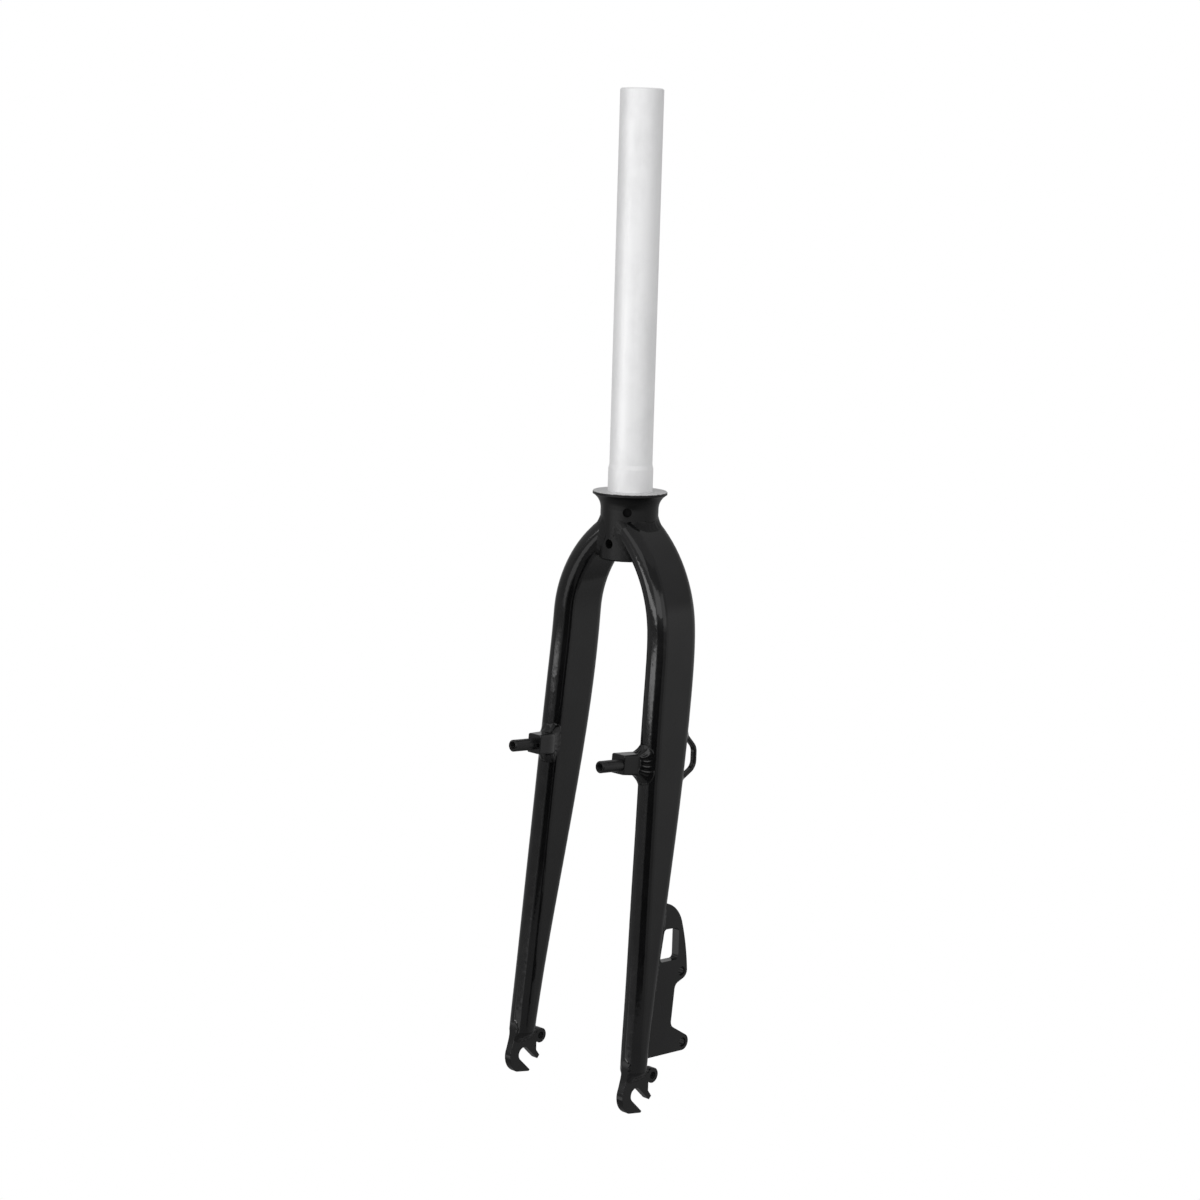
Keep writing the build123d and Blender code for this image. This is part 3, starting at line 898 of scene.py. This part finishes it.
class FORK_OT_dropouts(Operator):
    """Dropouts with rounded edges and a thread in each eyelet."""

    bl_idname = "fork.dropouts"
    bl_label = "Dropouts"

    def execute(self, context):
        edges = settings().edges
        for side in SIDES:
            soft_edged(f"{side}_dropout", f"{side}_dropout_forging", edges.plate)
            thread(f"{side}_eyelet_thread", f"{side}_mudguard_eyelet", edges.eyelet_pitch,
                   painted())
        return {"FINISHED"}


class FORK_OT_brake_bosses(Operator):
    """Gloss paint on the brake bosses, satin studs and the thread inside each stud."""

    bl_idname = "fork.brake_bosses"
    bl_label = "Brake Bosses and Studs"

    def execute(self, context):
        satin = finish_material("satin_black_stud", stud_black)
        pitch = settings().edges.stud_pitch
        for side in SIDES:
            dress_node(f"{side}_brake_boss", painted())
            dress_node(f"{side}_brake_stud", satin)
            thread(f"{side}_stud_thread", f"{side}_pivot_bolt", pitch, satin)
        return {"FINISHED"}


class FORK_OT_disc_mount(Operator):
    """Disc brake mount with rounded edges."""

    bl_idname = "fork.disc_mount"
    bl_label = "Disc Brake Mount"

    def execute(self, context):
        soft_edged("disc_brake_mount", "disc_mount_forging", settings().edges.plate)
        return {"FINISHED"}


class FORK_OT_hose_guide(Operator):
    """Gloss paint on the hose guide."""

    bl_idname = "fork.hose_guide"
    bl_label = "Hose Guide"

    def execute(self, context):
        dress_node("hose_guide", painted())
        return {"FINISHED"}


class FORK_OT_welds(Operator):
    """Painted welds where the pieces of the fork meet."""

    bl_idname = "fork.welds"
    bl_label = "Welds"

    def execute(self, context):
        welds = settings().welds
        for side in SIDES:
            leg = f"{side}_leg"
            weld(f"{side}_crown_weld", leg, "crown", welds.crown, welds.dressed_depth, dull_painted())
            weld(f"{side}_boss_weld", f"{side}_brake_boss", leg, welds.boss, welds.boss_depth, painted())
            weld(f"{side}_dropout_weld", leg, f"{side}_dropout", welds.dropout, welds.depth, painted())
        weld("disc_mount_weld", "disc_brake_mount", "left_leg", welds.mount, welds.depth, painted())
        weld("hose_guide_weld", "hose_guide", "left_leg", welds.guide, welds.depth, painted())
        return {"FINISHED"}


def seen_directly(tree):
    """1 for what the camera or a reflection sees."""
    rays = add_node(tree, "ShaderNodeLightPath").outputs
    return math_node(tree, "MAXIMUM", rays["Is Camera Ray"], rays["Is Glossy Ray"])


def white_room(strength):
    """White to the camera and in reflections, and a plain room light on dull surfaces."""
    world = bpy.data.worlds.new("white_room")
    bpy.context.scene.world = world
    world.use_nodes = True
    tree = world.node_tree
    through = add_node(tree, "ShaderNodeLightPath").outputs["Is Transmission Ray"]
    seen = math_node(tree, "MAXIMUM", seen_directly(tree), through)
    fill_inputs(tree, tree.nodes["Background"], {
        "Color": WHITE, "Strength": mixed_value(tree, seen, strength, 1.0),
    })


def area_lamp(name, power, size, place, target):
    """Oblong lamp, hidden from the camera, that points at a target."""
    lamp = bpy.data.lights.new(name, "AREA")
    lamp.shape = "RECTANGLE"
    lamp.size, lamp.size_y = size
    lamp.energy = power
    holder = new_piece(name, lamp)
    holder.location = place
    holder.rotation_euler = (Vector(target) - Vector(place)).to_track_quat("-Z", "Y").to_euler()
    holder.visible_camera = False
    return holder


def studio_place(azimuth, distance, height):
    """Place in the studio: azimuth counted from straight ahead towards the rider's left."""
    turn = math.radians(azimuth)
    return Vector((distance * math.sin(turn), -distance * math.cos(turn), height))


def reflection_card(name, sector, distance, heights, tones, fade):
    """Curved card that only reflections see, its tone changing upwards over the heights of the fade."""
    start, end = sector
    points, faces = [], []
    for i in range(CARD_STEPS + 1):
        azimuth = start + (end - start) * i / CARD_STEPS
        points += [studio_place(azimuth, distance, height) for height in heights]
    for i in range(CARD_STEPS):
        faces.append((2 * i, 2 * i + 1, 2 * i + 3, 2 * i + 2))
    reflected_only(name, points, faces, tones, fade)


def level_card(name, height, tone):
    """Level round card that only reflections see."""
    points = [
        studio_place(360 * i / LEVEL_CARD_STEPS, LEVEL_CARD_RADIUS, height) for i in range(LEVEL_CARD_STEPS)
    ]
    reflected_only(name, points, [tuple(range(LEVEL_CARD_STEPS))], (tone, tone), (height, height + 1))


def reflected_only(name, points, faces, tones, fade):
    """Glowing card, hidden from all but reflections."""
    mesh = bpy.data.meshes.new(name)
    mesh.from_pydata(points, [], faces)
    card = new_piece(name, mesh)
    material = bpy.data.materials.new(name)
    material.use_nodes = True
    tree = material.node_tree
    tree.nodes.clear()
    tone = spread(tree, object_height(tree), *tones, *fade)
    glow = add_node(tree, "ShaderNodeEmission", {"Color": WHITE, "Strength": tone}).outputs[0]
    add_node(tree, "ShaderNodeOutputMaterial", {"Surface": glow})
    mesh.materials.append(material)
    card.visible_camera = False
    card.visible_diffuse = False
    card.visible_shadow = False
    card.visible_transmission = False


def hang_cards(grey, floor_height):
    """Cards that the gloss paint and the bare metal reflect."""
    dim = 0.6 * grey
    low = 0.7 * grey
    high = 1.25 * grey
    ring = (floor_height, CEILING_HEIGHT)
    reflection_card("camera_flag", FLAG_SECTOR, FLAG_DISTANCE,
                    heights=(-0.39, -0.05), tones=(0, dim), fade=(-0.14, -0.07))
    reflection_card("camera_screen", CAMERA_SECTOR, SCREEN_DISTANCE,
                    heights=(floor_height, CAMERA_SCREEN_TOP), tones=(dim, 1.0), fade=(-0.16, -0.06))
    reflection_card("steerer_card", STEERER_SECTOR, STEERER_CARD_DISTANCE,
                    heights=(-0.14, CAMERA_SCREEN_TOP), tones=(0, 1.55), fade=(-0.14, -0.06))
    reflection_card("camera_top", CAMERA_SECTOR, SCREEN_DISTANCE,
                    heights=(CAMERA_SCREEN_TOP, CEILING_HEIGHT), tones=(dim, dim), fade=(0, 1))
    reflection_card("grey_screen", REAR_SECTOR, SCREEN_DISTANCE,
                    heights=(floor_height, 0), tones=(low, high), fade=(-0.75, 0))
    reflection_card("grey_top", REAR_SECTOR, SCREEN_DISTANCE,
                    heights=(0, CEILING_HEIGHT), tones=(high, 0.85 * grey), fade=(0, 0.15))
    reflection_card("back_screen", RIGHT_SECTOR, SCREEN_DISTANCE,
                    heights=ring, tones=(low, 0.9 * grey), fade=(-0.3, 0.1))
    reflection_card("far_screen", AHEAD_SECTOR, FAR_DISTANCE,
                    heights=ring, tones=(low, 0.45), fade=(-0.4, 0))
    level_card("floor_card", floor_height + FLOOR_CARD_GAP, 0.4 * grey)
    level_card("ceiling_card", CEILING_HEIGHT, grey)


def pale_floor(height, colour):
    """Wide floor: pale and shadowed under the fork, fading to the white room further out."""
    mesh = bpy.data.meshes.new("floor")
    corners = ((-1, -1), (1, -1), (1, 1), (-1, 1))
    mesh.from_pydata([(FLOOR_REACH * x, FLOOR_REACH * y, height) for x, y in corners], [], [(0, 1, 2, 3)])
    floor = new_piece("floor", mesh)
    material, tree, shader = new_material("pale_floor")
    grain = noise(tree, object_place(tree), FLOOR_GRAIN_SCALE, 4)
    worn = tuple(part * FLOOR_GRAIN_TONE for part in colour)
    fill_inputs(tree, shader, {
        "Base Color": colour_ramp(tree, grain, tuple(colour), worn, 0.3, 0.7),
        "Roughness": FLOOR_ROUGHNESS, "Specular IOR Level": SHADE_SPECULAR,
    })
    start, end = FLOOR_FADE
    fade = add_node(tree, "ShaderNodeMapRange", {
        "Value": axis_distance(tree), "From Min": start, "From Max": end,
        "To Min": FLOOR_NEAR_GLOW, "To Max": 1.0,
    }, interpolation_type="SMOOTHSTEP").outputs["Result"]
    share = product(tree, fade, seen_directly(tree))
    glow = add_node(tree, "ShaderNodeEmission", {"Color": WHITE, "Strength": 1.0}).outputs[0]
    mixed = add_node(tree, "ShaderNodeMixShader", {0: share, 1: shader.outputs[0], 2: glow}).outputs[0]
    fill_inputs(tree, tree.nodes["Material Output"], {"Surface": mixed})
    mesh.materials.append(material)


def photo_camera():
    """Camera in the place that was fitted to the photo."""
    camera = bpy.data.cameras.new("camera")
    camera.lens = CAMERA_LENS
    camera.sensor_width = CAMERA_SENSOR
    camera.clip_start, camera.clip_end = CAMERA_CLIP
    holder = new_piece("camera", camera)
    turn = Matrix((CAMERA_RIGHT, CAMERA_UP, CAMERA_BACK)).transposed().to_4x4()
    holder.matrix_world = Matrix.Translation(CAMERA_PLACE) @ turn
    bpy.context.scene.camera = holder


class FORK_OT_stage(Operator):
    """Camera, white room, lamps, reflection cards and floor."""

    bl_idname = "fork.stage"
    bl_label = "Studio"

    def execute(self, context):
        stage = settings().stage
        context.scene.view_settings.view_transform = "Standard"
        photo_camera()
        white_room(stage.room_light)
        floor_height = CAD_BOX[0][2] - stage.floor_drop
        key_place = studio_place(KEY_AZIMUTH, KEY_DISTANCE, KEY_HEIGHT)
        area_lamp("key_strip", stage.key_power, KEY_SIZE, key_place, (0, 0, KEY_HEIGHT))
        fill = area_lamp("fill_above", stage.fill_power, FILL_SIZE, FILL_PLACE, (0, 0, 0))
        fill.visible_glossy = False
        hang_cards(stage.screen_tone, floor_height)
        pale_floor(floor_height, stage.floor_colour)
        return {"FINISHED"}


class ForkSettings(PropertyGroup):
    """Everything that a user would change on the fork."""

    paint: PointerProperty(type=ForkPaint, name="Paint", description="Gloss paint")
    metal: PointerProperty(type=ForkMetal, name="Metal", description="Bare aluminium")
    welds: PointerProperty(type=ForkWelds, name="Welds", description="Painted welds")
    edges: PointerProperty(type=ForkEdges, name="Edges", description="Plate edges and threads")
    stage: PointerProperty(type=ForkStage, name="Stage", description="Floor and lamps")


OPERATORS = (
    FORK_OT_stage, FORK_OT_steerer, FORK_OT_crown, FORK_OT_legs, FORK_OT_dropouts, FORK_OT_brake_bosses,
    FORK_OT_disc_mount, FORK_OT_hose_guide, FORK_OT_welds,
)


class FORK_PT_panel(Panel):
    """Lists the fork's pieces and their sizes."""

    bl_idname = "FORK_PT_panel"
    bl_label = "Rigid Bicycle Fork"
    bl_space_type = "VIEW_3D"
    bl_region_type = "UI"
    bl_category = "Fork"

    def draw(self, context):
        for operator in OPERATORS:
            self.layout.operator(operator.bl_idname)
        for group in ("paint", "metal", "welds", "edges", "stage"):
            values = getattr(context.scene.fork, group)
            box = self.layout.box()
            box.label(text=group.title())
            for key in values.bl_rna.properties.keys():
                if key not in ("rna_type", "name"):
                    box.prop(values, key)


CLASSES = (ForkPaint, ForkMetal, ForkWelds, ForkEdges, ForkStage, ForkSettings, *OPERATORS, FORK_PT_panel)


def register():
    for made in CLASSES:
        bpy.utils.register_class(made)
    bpy.types.Scene.fork = PointerProperty(type=ForkSettings)


def unregister():
    del bpy.types.Scene.fork
    for made in reversed(CLASSES):
        bpy.utils.unregister_class(made)


def main():
    register()
    bpy.ops.fork.stage()
    bpy.ops.fork.steerer()
    bpy.ops.fork.crown()
    bpy.ops.fork.legs()
    bpy.ops.fork.dropouts()
    bpy.ops.fork.brake_bosses()
    bpy.ops.fork.disc_mount()
    bpy.ops.fork.hose_guide()
    bpy.ops.fork.welds()


if __name__ == "__main__":
    main()
